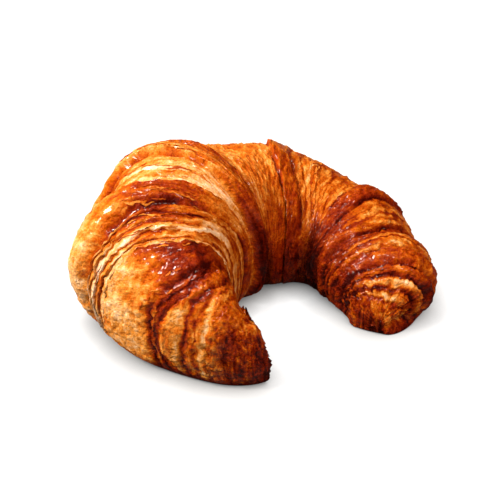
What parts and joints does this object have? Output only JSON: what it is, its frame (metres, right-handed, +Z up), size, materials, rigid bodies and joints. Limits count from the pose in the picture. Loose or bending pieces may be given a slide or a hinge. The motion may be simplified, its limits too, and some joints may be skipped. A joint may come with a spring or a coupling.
{
  "type": "croissant",
  "caption": "Crescent-shaped croissant of rolled laminated dough, with stepped wraps, blunt tips and a flat underside.",
  "frame": {"origin": "on the surface it lies on, under the middle of the croissant's box", "axes": "+Z up, +X across both arms, -Y toward the open side of the crescent"},
  "size_m": [0.146, 0.1204, 0.0672],
  "materials": {
    "crust": "egg-washed golden-brown crust"
  },
  "bodies": {
    "root": {"croissant": "crust"}
  },
  "joints": []
}
